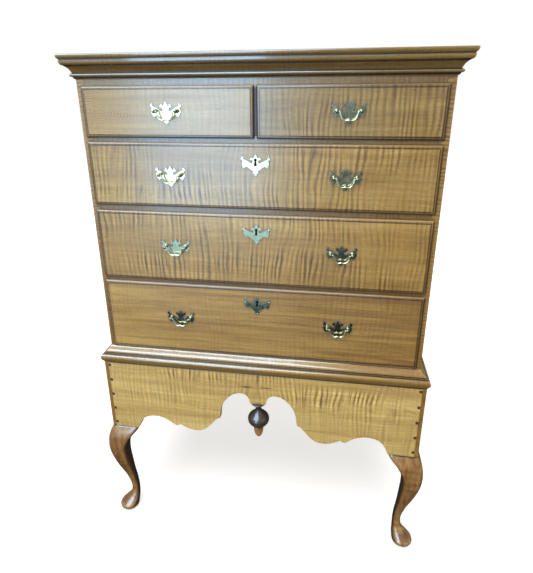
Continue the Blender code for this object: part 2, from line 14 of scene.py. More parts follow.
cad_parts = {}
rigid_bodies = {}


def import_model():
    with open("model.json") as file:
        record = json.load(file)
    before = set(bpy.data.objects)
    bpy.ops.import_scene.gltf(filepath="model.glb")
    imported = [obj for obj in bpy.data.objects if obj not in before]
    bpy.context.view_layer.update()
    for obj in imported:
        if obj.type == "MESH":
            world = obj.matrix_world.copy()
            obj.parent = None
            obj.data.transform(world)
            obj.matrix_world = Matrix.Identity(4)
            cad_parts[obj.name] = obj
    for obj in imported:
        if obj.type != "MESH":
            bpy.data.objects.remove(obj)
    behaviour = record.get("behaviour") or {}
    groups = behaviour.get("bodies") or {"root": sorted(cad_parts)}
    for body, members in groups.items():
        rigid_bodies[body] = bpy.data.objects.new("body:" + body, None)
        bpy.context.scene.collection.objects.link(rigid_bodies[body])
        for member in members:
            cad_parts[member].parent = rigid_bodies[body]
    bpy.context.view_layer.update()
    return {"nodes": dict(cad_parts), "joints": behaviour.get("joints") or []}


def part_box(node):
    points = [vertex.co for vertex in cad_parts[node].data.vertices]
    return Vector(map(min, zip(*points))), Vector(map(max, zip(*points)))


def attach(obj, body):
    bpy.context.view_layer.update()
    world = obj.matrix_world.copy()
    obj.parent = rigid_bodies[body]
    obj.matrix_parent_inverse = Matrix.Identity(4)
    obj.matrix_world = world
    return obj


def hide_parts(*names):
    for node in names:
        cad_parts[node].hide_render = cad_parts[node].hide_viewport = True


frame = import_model()

# ---- sizes that the design shares, in metres ----
BOARD = 0.02
LIP_T = 0.008          # the lip in front of the case
LIP_OVER = 0.008       # lip beyond the part of a front inside its opening
QUIRK = 0.0079         # the quirk inside the lip's moulding, in from its edge
BOX_BOARD = 0.012      # drawer sides and back
FIT = 0.0001           # left where glued pieces meet
KNEE_Z = 0.3645        # top of the knees
LAP = 0.0115           # left of a side board outside the apron's fingers
FINGER_H = 0.0095
FINGER_PITCH = 0.0549
FINGER_TOP = 0.0125
KEYHOLE_DROP = 0.0145  # the round top of a keyhole, below the escutcheon's top
CUT_PAST = 0.002       # how far a cutter passes the wood it leaves
PLATE_T = 0.0016
POST_X = 0.02885       # a post from the middle of its pull

DRAWERS = ("top_left", "top_right", "upper", "middle", "lower")
LOCKED = ("upper", "middle", "lower")
APRON_LOW, APRON_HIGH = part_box("frame_apron")
FRONT = APRON_LOW.y
FRAME_TOP = APRON_HIGH.z
FRAME_LOW = KNEE_Z + 0.0003  # just clear of the knees
FRAME_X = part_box("frame_side_right")[1].x
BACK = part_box("frame_back")[1].y
CASE_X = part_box("case_side_right")[1].x
CASE_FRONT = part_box("case_side_right")[0].y
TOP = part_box("case_top")[1].z
TAIL_LAP = CASE_FRONT + 0.003  # where the dovetails end inside a drawer front


# ---- shapes: points ----
def through(points, steps):
    """A smooth curve through the points, with that many steps between two."""
    curve = []
    last = len(points) - 1
    for i in range(last):
        a = Vector(points[max(i - 1, 0)])
        b = Vector(points[i])
        c = Vector(points[i + 1])
        d = Vector(points[min(i + 2, last)])
        for k in range(steps):
            t = k / steps
            curve.append(0.5 * (2 * b + (c - a) * t + (2 * a - 5 * b + 4 * c - d) * t ** 2
                                + (3 * b - a - 3 * c + d) * t ** 3))
    curve.append(Vector(points[last]))
    return [tuple(p) for p in curve]


def outline(points, steps=4):
    """A smooth outline; a point with a third value is a sharp corner."""
    curve = []
    run = []
    for point in points:
        run.append(point[:2])
        if len(point) == 3 and len(run) > 1:
            curve += through(run, steps)[:-1]
            run = [point[:2]]
    if len(run) > 1:
        curve += through(run, steps)[:-1]
    curve.append(points[-1][:2])
    return curve


def mirrored(half):
    """Closes a right half; points on the middle line are used once."""
    return half + [(-x, y) for x, y in reversed(half) if x > 1e-7]


def drawn(text):
    """Outline points in metres, from millimetres in text; a star marks a sharp corner."""
    points = []
    for word in text.split():
        u, v = word.rstrip("*").split(",")
        points.append((float(u) / 1000, float(v) / 1000) + (1,) * word.endswith("*"))
    return points


# ---- shapes: meshes ----
def in_scene(name, data):
    """A new object, linked to the scene."""
    obj = bpy.data.objects.new(name, data)
    bpy.context.scene.collection.objects.link(obj)
    return obj


def smooth(obj, angle):
    """Shades an object smooth over edges that turn less than an angle in degrees."""
    obj.data.shade_smooth()
    obj.data.set_sharp_from_angle(angle=radians(angle))


def from_bmesh(name, bm, angle=None):
    """An object at the origin, its place in its mesh, like the design's own."""
    bmesh.ops.recalc_face_normals(bm, faces=bm.faces)
    mesh = bpy.data.meshes.new(name)
    bm.to_mesh(mesh)
    bm.free()
    obj = in_scene(name, mesh)
    if angle:
        smooth(obj, angle)
    return obj


def shape(name, angle, build, *args):
    """An object made by one building step, such as a loft."""
    bm = bmesh.new()
    build(bm, *args)
    return from_bmesh(name, bm, angle)


def add_box(bm, low, high):
    made = bmesh.ops.create_cube(bm, size=1.0)["verts"]
    size = [b - a for a, b in zip(low, high)]
    bmesh.ops.scale(bm, vec=size, verts=made)
    bmesh.ops.translate(bm, vec=[(a + b) / 2 for a, b in zip(low, high)], verts=made)


def loft(bm, rings):
    """Skins closed rings of the same number of points, and caps the two ends."""
    rows = [[bm.verts.new(p) for p in ring] for ring in rings]
    count = len(rows[0])
    for low, high in zip(rows, rows[1:]):
        for i in range(count):
            j = (i + 1) % count
            bm.faces.new((low[i], low[j], high[j], high[i]))
    bm.faces.new(list(reversed(rows[0])))
    bm.faces.new(rows[-1])


def prism(bm, points, near, far, place):
    """Extrudes a flat outline between two depths; place turns (u, v, depth) to a point."""
    loft(bm, [[place(u, v, near) for u, v in points], [place(u, v, far) for u, v in points]])


def facing_front(u, v, depth):
    return u, depth, v


def facing_side(u, v, depth):
    return depth, u, v


def lathe(bm, profile, centre, axis="Z", sides=48):
    """Turns (radius, along) points about an axis through centre; ends on the axis."""
    rings = []
    for radius, along in profile:
        ring = []
        for i in range(sides):
            a = 2 * pi * i / sides
            u, v = radius * cos(a), radius * sin(a)
            ring.append(Vector(centre) + Vector((u, v, along) if axis == "Z" else (u, along, v)))
        rings.append(ring)
    loft(bm, rings)


def tube(bm, path, radii, sides=12):
    """A round rod of changing radius along a path."""
    path = [Vector(p) for p in path]
    rings = []
    side = None
    for i, point in enumerate(path):
        along = (path[min(i + 1, len(path) - 1)] - path[max(i - 1, 0)]).normalized()
        if side is None:
            side = along.orthogonal().normalized()
        side = (side - along * side.dot(along)).normalized()
        up = along.cross(side)
        ring = []
        for k in range(sides):
            a = 2 * pi * k / sides
            ring.append(point + (side * cos(a) + up * sin(a)) * radii[i])
        rings.append(ring)
    loft(bm, rings)


def cut(obj, cutter, angle=None, operation="DIFFERENCE"):
    """Cuts obj with a cutter, or joins it to it, and removes the cutter."""
    modifier = obj.modifiers.new("cut", "BOOLEAN")
    modifier.operation = operation
    modifier.solver = "EXACT"
    modifier.object = cutter
    bpy.context.view_layer.update()
    depsgraph = bpy.context.evaluated_depsgraph_get()
    mesh = bpy.data.meshes.new_from_object(obj.evaluated_get(depsgraph))
    obj.modifiers.clear()
    obj.data = mesh
    bpy.data.objects.remove(cutter, do_unlink=True)
    if angle:
        smooth(obj, angle)


def ease(obj, width=0.0006):
    """Rubs down an object's sharp edges with Weld and Bevel modifiers."""
    weld = obj.modifiers.new("weld", "WELD")
    weld.merge_threshold = 0.00001
    bevel = obj.modifiers.new("ease", "BEVEL")
    bevel.width = width
    bevel.segments = 2
    bevel.limit_method = "ANGLE"
    bevel.angle_limit = radians(40.0)


def place(obj, body, slot, material, *nodes):
    """Rides obj on a body with its material, and hides the nodes it stands for."""
    obj.data.materials.clear()
    obj.data.materials.append(material)
    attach(obj, body)
    if nodes:
        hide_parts(*nodes)
    return obj


# ---- materials ----
class Recipe:
    """A node tree, built step by step; steps return output sockets."""

    def __init__(self, owner):
        self.owner = owner
        owner.use_nodes = True
        self.tree = owner.node_tree
        self.tree.nodes.clear()
        self.coords = self.make("TexCoord")
        self.spot = self.coords["Object"]

    def make(self, kind, inputs=None, **settings):
        """A node's outputs. inputs holds values or sockets by the name or place of an input."""
        made = self.tree.nodes.new("ShaderNode" + kind)
        for key, value in settings.items():
            setattr(made, key, value)
        for key, value in (inputs or {}).items():
            if isinstance(value, bpy.types.NodeSocket):
                self.tree.links.new(value, made.inputs[key])
            elif value is not None:
                made.inputs[key].default_value = value
        return made.outputs

    def math(self, operation, a, b=None, c=None, clamp=False):
        return self.make("Math", {0: a, 1: b, 2: c}, operation=operation, use_clamp=clamp)[0]

    def times(self, a, b, clamp=False):
        return self.math("MULTIPLY", a, b, clamp=clamp)

    def madd(self, a, b, c):
        return self.math("MULTIPLY_ADD", a, b, c)

    def vary(self, base, noise, amount):
        """The base, moved up and down by a noise about its middle."""
        return self.madd(self.math("SUBTRACT", noise, 0.5), amount, base)

    def gap(self, a, b):
        return self.math("ABSOLUTE", self.math("SUBTRACT", a, b))

    def parts(self, vector):
        return self.make("SeparateXYZ", {0: vector})

    def length(self, vector):
        return self.make("VectorMath", {0: vector}, operation="LENGTH")["Value"]

    def move(self, vector, location=(0, 0, 0), rotation=(0, 0, 0), scale=(1, 1, 1)):
        return self.make("Mapping", {"Vector": vector, "Location": location, "Rotation": rotation,
                                     "Scale": scale})[0]

    def noise(self, vector, scale, detail=2.0, roughness=0.5, distortion=0.0):
        return self.make("TexNoise", {"Vector": vector, "Scale": scale, "Detail": detail,
                                      "Roughness": roughness, "Distortion": distortion})["Fac"]

    def stretched(self, wood, along, across, *fineness):
        """Noise drawn out along the grain."""
        return self.noise(self.move(wood, scale=(along, across, across)), 1.0, *fineness)

    def fit(self, value, low, high, to_low=0.0, to_high=1.0, smooth=True):
        return self.make("MapRange", {"Value": value, "From Min": low, "From Max": high,
                                      "To Min": to_low, "To Max": to_high},
                         interpolation_type="SMOOTHSTEP" if smooth else "LINEAR")[0]

    def ramp(self, factor, stops):
        made = self.tree.nodes.new("ShaderNodeValToRGB")
        elements = made.color_ramp.elements
        while len(elements) < len(stops):
            elements.new(0.5)
        for element, (where, colour) in zip(elements, stops):
            element.position = where
            element.color = (*colour, 1.0)
        self.tree.links.new(factor, made.inputs["Fac"])
        return made.outputs["Color"]

    def mix(self, factor, a, b, blend="MIX"):
        a, b = ((*value, 1.0) if isinstance(value, tuple) else value for value in (a, b))
        return self.make("Mix", {"Factor": factor, 6: a, 7: b}, data_type="RGBA", blend_type=blend)[2]

    def occlusion(self, distance, inside=False):
        return self.make("AmbientOcclusion", {"Distance": distance}, samples=4, inside=inside)["AO"]

    def bump(self, height, distance, strength):
        return self.make("Bump", {"Strength": strength, "Distance": distance, "Height": height})[0]

    def finish(self, colour, roughness, normal, coat_normal=None, **fixed):
        inputs = {"Base Color": colour, "Roughness": roughness, "Normal": normal,
                  "Coat Normal": coat_normal}
        inputs.update((name.replace("_", " "), value) for name, value in fixed.items())
        self.make("OutputMaterial", {"Surface": self.make("BsdfPrincipled", inputs)[0]})
        return self.owner


# the grain runs along one axis; these turn it to X, with Z across a board's face
GRAIN_TURN = {"X": (0.0, 0.0, 0.0), "Y": (0.0, 0.0, -pi / 2), "Z": (0.0, pi / 2, 0.0)}
HONEY = ((0.235, 0.128, 0.026), (0.37, 0.228, 0.054), (0.505, 0.345, 0.102))
RUSSET = ((0.165, 0.072, 0.021), (0.32, 0.175, 0.053), (0.46, 0.295, 0.105))
DARK_BAR = (0.34, 0.26, 0.2)
LIGHT_BAR = (1.34, 1.36, 1.3)
# orange of the lips' top edges: rubbed finish and a painted highlight of the light from above
TOP_EDGE_WEAR_AND_LIGHT = (0.31, 0.18, 0.045)
# dark old finish and dirt; also the colour of painted shade in recesses, creases and on the legs' inner
# faces
DIRT_AND_SHADE = (0.028, 0.013, 0.007)


def tinted(tones, factor):
    return tuple(tuple(c * f for c, f in zip(tone, factor)) for tone in tones)


def honey(*factor):
    return tinted(HONEY, factor)


def growth_rings(r, wood, turned, across, heart, spacing, reach):
    """Thin ring lines of a board sawn past the tree's heart; they arch where it is near.

    heart is the place along and across the board nearest the heart, the depth
    of the heart behind the face there, and how fast that depth grows. The lines
    fade towards reach, a distance from the heart.
    """
    along0, across0, depth0, slope = heart
    sway = r.stretched(wood, 2.2, 7.0, 3.0, 0.55)
    ripple = r.stretched(wood, 14.0, 26.0)
    sway_size, ripple_size = 0.075, 0.012
    spot = r.parts(turned)
    high = r.madd(sway, sway_size, spot[across])
    middle = across0 + (sway_size + ripple_size) / 2
    high = r.madd(ripple, ripple_size, r.math("SUBTRACT", high, middle))
    deep = r.madd(spot["X"], slope, depth0 - slope * along0)
    radius = r.math("SQRT", r.math("ADD", r.times(high, high), r.times(deep, deep)))
    uneven = r.madd(ripple, 0.006, r.madd(sway, 0.03, radius))
    wave = r.math("SINE", r.times(uneven, 2 * pi / spacing))
    faded = r.fit(r.madd(sway, 0.4 * reach, radius), 0.5 * reach, 1.3 * reach, 1.0, 0.0)
    return r.times(r.fit(wave, 0.2, 1.0), faded)


def curly_figure(r, wood, size):
    """Curl across the grain, from dark lines at 0 to bright bars at 1, feathered."""
    lean = r.stretched(wood, 4.0, 3.5)
    crowd = r.stretched(wood, 18.0, 2.5)
    flutter = r.stretched(wood, 16.0, 38.0, 2.0, 0.6)
    split = r.parts(wood)
    along = split["X"]
    for sway, amount in ((lean, 0.06), (crowd, size * 2.4), (flutter, size * 0.28)):
        along = r.madd(sway, amount, along)
    leaning = r.make("CombineXYZ", {0: along, 1: split["Y"], 2: split["Z"]})[0]
    wave = r.math("SINE", r.times(along, 2 * pi / size))
    swell = r.fit(r.stretched(leaning, 0.5 / size, 5.0), 0.3, 0.6)
    bars = r.madd(r.times(wave, swell), 0.36, 0.52)
    fine = r.stretched(leaning, 2.6 / size, 9.0, 3.0, 0.6)
    bars = r.vary(bars, fine, 1.05)
    crossing = r.stretched(leaning, 1.0 / size, 4.0, 1.0, 0.4)
    line = r.fit(r.gap(crossing, 0.5), 0.0, 0.05, 1.0, 0.0)
    return r.madd(line, -0.22, bars)


def figured_maple(name, grain, seed, tones=HONEY, ripple=0.5, ripple_size=0.0135, rings=0.3,
                  heart=(0.0, 0.9, 0.08, 0.03), spacing=0.0075, reach=1.0, across="Z", gloss=0.21,
                  knots=(), flames=(), lip=None, coat=1.0, streaks=0.5,
                  stained=None, drift=(0.0, 0.0), quirks=(), inward=0.0, shine=1.5):
    """Curly maple under an old clear finish.

    ripple is how strong the curl is, and flames are patches where it is
    stronger: along, across, their two radii and the gain. across is the turned
    axis over the board's face, square to the grain. lip is a moulded front's
    outline, whose quirk holds old dark finish and painted shade; its sides and
    bottom get painted shade, its top edge rubbed finish and a painted highlight.
    Wood nearer the middle than stained is dark, as on the fingers of a corner
    joint. drift is how much lighter the wood grows for each metre along it, and
    where it is even.
    quirks are heights with a half width, where dark finish and painted shade lie
    in a moulding's creases, under an overhang and where parts meet.
    inward is the way along X that points to the middle of the chest; a leg's
    faces turned that way get painted shade.
    """
    r = Recipe(bpy.data.materials.new(name))
    turned = r.move(r.spot, rotation=GRAIN_TURN[grain])
    wood = r.move(turned, location=(seed * 1.37, seed * 0.71, seed * 0.93))

    # broad streaks, narrow streaks, flecks and fibre, all along the grain
    broad = r.stretched(wood, 1.3, 11.0, 3.0, 0.55, 0.3)
    narrow = r.stretched(wood, 4.0, 85.0, 3.0, 0.6, 0.2)
    fleck = r.stretched(wood, 70.0, 260.0, 2.0, 0.6)
    fibre = r.stretched(wood, 22.0, 900.0, 3.0, 0.65)
    tone = 0.5
    for layer, amount in ((broad, 0.5), (narrow, streaks), (fleck, 0.26), (fibre, 0.3)):
        tone = r.vary(tone, layer, amount)
    rate, even = drift
    if rate:
        tone = r.madd(r.math("SUBTRACT", r.parts(turned)["X"], even), rate, tone)
    ring = growth_rings(r, wood, turned, across, heart, spacing, reach)
    shown = r.fit(broad, 0.3, 0.6, 0.35, 1.0)
    tone = r.madd(r.times(ring, shown), -0.26 * rings, tone)
    low, middle, high = tones
    colour = r.ramp(tone, ((0.26, low), (0.5, middle), (0.74, high)))

    # curl, in patches
    patch = r.stretched(wood, 3.4, 8.0, 3.0, 0.6)
    depth = r.fit(patch, 0.34, 0.66, 0.15 * ripple, ripple)
    face = "XYZ".index(across)
    for flame_along, flame_across, radius_along, radius_across, gain in flames:
        size = [1 / radius_along, 0.0, 0.0]
        size[face] = 1 / radius_across
        shift = [-flame_along / radius_along, 0.0, 0.0]
        shift[face] = -flame_across / radius_across
        ragged = r.madd(patch, 1.1, r.length(r.move(turned, location=shift, scale=size)))
        depth = r.math("ADD", depth, r.fit(ragged, 0.75, 1.6, gain, 0.0))
    curl = curly_figure(r, wood, ripple_size)
    dark = r.times(r.fit(curl, 0.05, 0.56, 0.85, 0.0), depth, clamp=True)
    light = r.times(r.fit(curl, 0.44, 0.9, 0.0, 1.0), depth, clamp=True)
    colour = r.mix(dark, colour, DARK_BAR, "MULTIPLY")
    colour = r.mix(light, colour, LIGHT_BAR, "MULTIPLY")

    for x, z, size, stretch in knots:
        spot = r.move(r.spot, location=(-x / stretch, 0.0, -z), scale=(1 / stretch, 0.0, 1.0))
        away = r.madd(fleck, size * 1.2, r.length(spot))
        colour = r.mix(r.fit(away, size * 0.7, size * 1.7, 0.85, 0.0), colour, (0.035, 0.014, 0.006))

    # end grain drinks more stain
    facing = r.parts(r.coords["Normal"])
    end = r.fit(r.math("ABSOLUTE", facing[grain]), 0.72, 0.92)
    soaked = (0.78, 0.7, 0.6) if stained else (0.46, 0.37, 0.31)
    colour = r.mix(end, colour, soaked, "MULTIPLY")
    # painted shade on a leg's faces turned to the middle of the chest
    if inward:
        inner_face_shade = r.vary(r.times(facing["X"], inward), broad, 0.3)
        colour = r.mix(r.fit(inner_face_shade, 0.45, 0.9, 0.0, 0.86), colour, DIRT_AND_SHADE)
    if stained:
        off_middle = r.math("ABSOLUTE", r.parts(r.spot)["X"])
        inside = r.fit(off_middle, stained - 0.0003, stained + 0.0003, 0.8, 0.0)
        colour = r.mix(r.times(inside, end), colour, DIRT_AND_SHADE)

    # painted shade in recesses and corners, old finish and painted shade in the quirks, painted shade and
    # highlights on the lips, rubbed edges
    cloud = r.noise(r.spot, 60.0, 3.0, 0.6)
    # painted shade where little light reaches, as under the lips and between parts
    open_sky = r.vary(r.occlusion(0.012), cloud, 0.2)
    colour = r.mix(r.fit(open_sky, 0.44, 0.96, 0.94, 0.0), colour, DIRT_AND_SHADE)
    # painted shade lines in tight inner corners
    colour = r.mix(r.fit(r.occlusion(0.003), 0.5, 0.93, 0.88, 0.0), colour, DIRT_AND_SHADE)
    # lines of old dark finish and painted shade at the given heights
    for z, half in quirks:
        line = r.fit(r.gap(r.parts(r.spot)["Z"], z), 0.5 * half, half, 0.95, 0.0)
        colour = r.mix(r.times(line, r.fit(cloud, 0.2, 0.5, 0.6, 1.0)), colour, DIRT_AND_SHADE)
    if lip:
        below_top, inset = inset_from(r, lip)
        band = r.fit(inset, 0.0066, 0.0078, 0.8, 0.0)
        colour = r.mix(band, colour, (0.66, 0.55, 0.44), "MULTIPLY")
        # dark finish and painted shade in the quirk, painted shade round the lip's sides and bottom
        colour = r.mix(quirk_mask(r, inset, below_top, cloud), colour, DIRT_AND_SHADE)
        # the lip's top edge: rubbed finish and a painted highlight
        colour = r.mix(r.fit(below_top, 0.0012, 0.0026, 0.75, 0.0), colour, TOP_EDGE_WEAR_AND_LIGHT)
    rubbed = r.fit(r.occlusion(0.004, inside=True), 0.3, 0.75, 0.75, 0.0)
    colour = r.mix(rubbed, colour, (1.75, 1.5, 1.15), "MULTIPLY")

    handled = r.noise(r.spot, 9.0, 4.0, 0.6)
    roughness = r.fit(handled, 0.3, 0.7, 0.36, 0.52)
    normal = r.bump(r.madd(fibre, 0.35, r.times(curl, 0.6 * ripple)), 0.0006, 0.6)
    sag = r.noise(r.spot, 24.0)
    skin = r.bump(r.madd(narrow, 0.1, r.madd(fleck, 0.05, sag)), 0.001, 0.4)
    return r.finish(colour, roughness, normal, skin, Coat_Weight=coat, Coat_Roughness=gloss,
                    Coat_IOR=shine, Specular_IOR_Level=0.32)


def inset_from(r, lip):
    """Distance below a front's top edge, and in from its whole outline."""
    split = r.parts(r.spot)
    (x_low, z_low), (x_high, z_high) = lip
    off = r.gap(split["X"], (x_low + x_high) / 2)
    side = r.math("SUBTRACT", (x_high - x_low) / 2, off)
    below_top = r.math("SUBTRACT", z_high, split["Z"])
    above_bottom = r.math("SUBTRACT", split["Z"], z_low)
    return below_top, r.math("MINIMUM", r.math("MINIMUM", side, above_bottom), below_top)


def quirk_mask(r, inset, below_top, cloud):
    """How much dark finish and painted shade lie in the quirk, and painted shade round a lip except on its
    top edge.
    """
    worn = r.fit(cloud, 0.35, 0.65, 0.7, 0.95)
    line = r.times(r.fit(r.gap(inset, QUIRK), 0.0008, 0.0019, 1.0, 0.0), worn)
    edge_shade = r.times(r.fit(inset, 0.0014, 0.004, 0.97, 0.0), r.fit(below_top, 0.002, 0.004))
    return r.math("MAXIMUM", line, edge_shade)


def bare_pine(name, grain, seed, dust=0.3):
    """Unfinished softwood: strong early and late bands, knots, and age."""
    r = Recipe(bpy.data.materials.new(name))
    turned = r.move(r.spot, rotation=GRAIN_TURN[grain])
    wood = r.move(turned, location=(seed * 1.9, seed * 0.63, seed * 1.1))
    wander = r.stretched(wood, 1.1, 4.0, 3.0, 0.5)
    spot = r.parts(turned)
    bowed = r.madd(wander, 0.11, r.math("ADD", spot["Z"], spot["Y"]))
    band = r.math("FRACT", r.times(bowed, 1 / 0.0085))
    late = r.fit(band, 0.45, 0.95)
    fibre = r.stretched(wood, 18.0, 700.0, 3.0, 0.6)
    age = r.stretched(wood, 2.5, 7.0, 4.0, 0.6)
    colour = r.ramp(r.madd(fibre, 0.4, r.times(age, 0.6)),
                    ((0.25, (0.31, 0.2, 0.08)), (0.55, (0.47, 0.345, 0.15)),
                     (0.8, (0.58, 0.46, 0.23))))
    colour = r.mix(r.times(late, 0.55), colour, (0.28, 0.165, 0.055))
    soil = r.fit(r.noise(r.spot, 5.0, 5.0, 0.65), 0.45, 0.8, 0.0, dust)
    colour = r.mix(soil, colour, (0.16, 0.11, 0.07))
    # painted shade in the corners and recesses
    in_hollows = r.fit(r.occlusion(0.014), 0.35, 0.9, 0.65, 0.0)
    colour = r.mix(in_hollows, colour, (0.07, 0.045, 0.028))
    height = r.madd(late, 0.5, fibre)
    return r.finish(colour, r.fit(fibre, 0.2, 0.8, 0.62, 0.82), r.bump(height, 0.0005, 0.6),
                    Specular_IOR_Level=0.3)


def cast_brass(name, tones, roughness, tarnish=0.4):
    """Polished brass, tarnished where a cloth can't reach, with a painted highlight on its edges."""
    r = Recipe(bpy.data.materials.new(name))
    low, high = tones
    spot = r.spot
    cloud = r.noise(spot, 70.0, 4.0, 0.6)
    colour = r.mix(r.fit(cloud, 0.3, 0.7), low, high)
    pits = r.noise(spot, 900.0, 2.0, 0.5)
    colour = r.mix(r.fit(pits, 0.62, 0.75, 0.0, 0.5 * tarnish), colour, (0.12, 0.08, 0.03))
    in_hollows = r.fit(r.occlusion(0.005), 0.3, 0.85, 0.9, 0.0)
    colour = r.mix(r.times(in_hollows, tarnish * 1.8, clamp=True), colour, (0.03, 0.024, 0.014))
    # painted highlight along the convex edges
    edge_highlight = r.fit(r.occlusion(0.0012, inside=True), 0.3, 0.8, 0.9, 0.0)
    colour = r.mix(edge_highlight, colour, (1.0, 0.95, 0.78))
    scratches = r.noise(r.move(spot, rotation=(0.0, 0.6, 0.0), scale=(300.0, 300.0, 2500.0)), 1.0, 2.0)
    rough = r.fit(r.madd(in_hollows, 0.8, cloud), 0.3, 1.2, roughness, roughness + 0.3)
    rough = r.madd(edge_highlight, 0.22, rough)
    normal = r.bump(r.madd(scratches, 0.3, pits), 0.00006, 0.5)
    return r.finish(colour, rough, normal, Metallic=1.0)


def old_iron(name):
    r = Recipe(bpy.data.materials.new(name))
    rust = r.noise(r.spot, 160.0, 5.0, 0.65)
    colour = r.ramp(rust, ((0.35, (0.03, 0.028, 0.027)), (0.55, (0.065, 0.05, 0.04)),
                           (0.72, (0.16, 0.07, 0.03))))
    return r.finish(colour, r.fit(rust, 0.3, 0.7, 0.38, 0.75), r.bump(rust, 0.0003, 0.6), Metallic=0.75)


def pale_floor():
    """Pale near the chest, and plain white where it meets the backdrop."""
    r = Recipe(bpy.data.materials.new("pale_floor"))
    speck = r.noise(r.spot, 3.0, 4.0, 0.6)
    colour = r.ramp(speck, ((0.3, (0.93, 0.93, 0.925)), (0.7, (0.95, 0.95, 0.945))))
    glow = r.fit(r.length(r.spot), 0.8, 3.5, 0.36, 0.62)
    return r.finish(colour, r.fit(speck, 0.3, 0.7, 0.75, 0.85), None, Specular_IOR_Level=0.1,
                    Emission_Color=(1.0, 1.0, 1.0, 1.0), Emission_Strength=glow)


# ---- straight boards that keep their nodes ----
def keep_boards():
    """Nodes whose shape is right: a better material, and edges rubbed down."""
    upright = dict(ripple=0.85, ripple_size=0.0105, rings=0.2, across="Y",
                   tones=honey(0.74, 0.68, 0.66))
    # the divider's near-black tones are painted shade in the gap between the drawers' lips
    shaded = dict(rings=0.2, tones=honey(0.22, 0.17, 0.16), coat=0.2)
    # the rails' darker tones are partly the wood's own and partly painted shade under the cornice and the
    # lips
    rail = dict(ripple=0.45, ripple_size=0.0125, rings=0.2, tones=honey(0.6, 0.58, 0.62))
    finishes = dict.fromkeys([level + "_lock" for level in LOCKED], old_iron("old_iron"))
    for node, name, grain, seed, look in (
            ("case_side_left", "side_left", "Z", 3, upright),
            ("case_side_right", "side_right", "Z", 5, upright),
            ("case_top", "top", "X", 7, dict(across="Y", ripple=0.4, gloss=0.3, coat=0.6)),
            ("frieze_rail", "frieze", "X", 9, rail),
            ("base_rail", "base_rail", "X", 11, rail),
            ("drawer_rail_upper", "rail_upper", "X", 13, rail),
            ("drawer_rail_middle", "rail_middle", "X", 15, rail),
            ("drawer_rail_lower", "rail_lower", "X", 17, rail),
            ("drawer_divider", "divider", "Z", 19, shaded)):
        finishes[node] = figured_maple("maple_" + name, grain, seed, **look)
    for node, name, seed, dust in (("case_bottom", "bottom", 21, 0.3), ("case_back", "back", 23, 0.5),
                                   ("seat_frame", "seat", 25, 0.4),
                                   ("frame_back", "frame_back", 27, 0.4)):
        finishes[node] = bare_pine("pine_" + name, "X", seed, dust)
    for node, material in finishes.items():
        obj = frame["nodes"][node]
        for slot in obj.material_slots:
            slot.material = material
        ease(obj)


def back_nails():
    """Wrought nails along the ends of the back boards."""
    low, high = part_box("case_back")
    rise = (high.z - low.z) / 5
    bm = bmesh.new()
    for board in range(5):
        for share in (0.22, 0.78):
            z = low.z + rise * (board + share)
            for x in (low.x + 0.012, 0.0, high.x - 0.012):
                lathe(bm, drawn("0,-0.2 4.2,0 3.8,0.7 1.5,1.1 0,1.2"),
                      (x + 0.003 * sin(40 * z), BACK, z), "Y", 8)
    place(from_bmesh("back_board_nails", bm), "carcass", "iron", old_iron("nail_iron"))


# ---- mouldings ----
# how far out and how far below the top, in millimetres
CORNICE = drawn("""
    29,0* 30.8,0.8 31.5,3 31.1,6 29.8,9.2 27.6,11.8 26.2,12.8* 26.2,14.6* 27.2,15* 27.2,16.8
    26.6,20.5 25,24 22.5,26.2* 20,26.8* 19.6,27.2* 16,29.8 12.2,33.5 9,38 6.8,43 6,45.8* 7.8,46*
    10.4,47.4 11.3,49.8 10.4,52.4 8,54* 5.5,54.2* 4.8,56.2 2.8,58.5 0.3,60.5*""")

# how far out and how far above the frame
WAIST = drawn("""
    0.3,49.7* 3.5,46.8 6.2,42.5 9.2,37.6 13,34 16.5,32.6* 16.5,30.4* 18.8,30* 18.8,27* 21.8,26.2
    25.4,23.8 27.4,20 27.7,16 26.8,11.2 24.4,6.2* 20.5,0.3*""")


def moulding(node, section, wood, seed, look):
    """A moulding along X on the front and on each side, mitred at the front corners."""
    corner = CASE_X - FIT
    start = -CASE_FRONT - FIT
    for end, tail, grain, step, face, ends, turn in (
            ("_front", "", "X", 0, -CASE_FRONT, ((-corner, -1), (corner, 1)), 0.0),
            ("_right", "_right", "Y", 4, CASE_X, ((-start, -1), (BACK, 0)), pi / 2),
            ("_left", "_left", "Y", 2, CASE_X, ((-BACK, 0), (start, 1)), -pi / 2)):
        rings = [[(where + mitre * out, -(face + out), z) for out, z in section]
                 for where, mitre in ends]
        obj = shape(node + end + "_run", 24.0, loft, rings)
        obj.data.transform(Matrix.Rotation(turn, 4, "Z"))
        material = figured_maple("maple_" + wood + tail, grain, seed + step, **look)
        place(obj, "carcass", "maple", material, node + end)


def mouldings():
    look = dict(ripple=0.3, ripple_size=0.0125, rings=0.2, gloss=0.1, shine=1.62)
    section = [(out, TOP - drop) for out, drop in outline(CORNICE)] + [(0.0003, TOP)]
    # lines of old dark finish and painted shade in the cornice's quirks and coves
    lines = ((TOP - 0.0138, 0.0014), (TOP - 0.0274, 0.0028), (TOP - 0.0462, 0.0016),
             (TOP - 0.056, 0.0034))
    moulding("cornice", section, "cornice", 31,
             dict(look, tones=honey(0.55, 0.54, 0.52), quirks=lines))
    section = [(out, FRAME_TOP + rise) for out, rise in outline(WAIST)]
    # the waist's lines: dark finish and painted shade in its quirks, and painted shadow along its lower
    # edge
    lines = ((FRAME_TOP + 0.0312, 0.0015), (FRAME_TOP + 0.0268, 0.0009),
             (FRAME_TOP + 0.0005, 0.003))
    moulding("waist_moulding", section, "waist", 37,
             dict(look, tones=honey(0.72, 0.68, 0.56), quirks=lines))


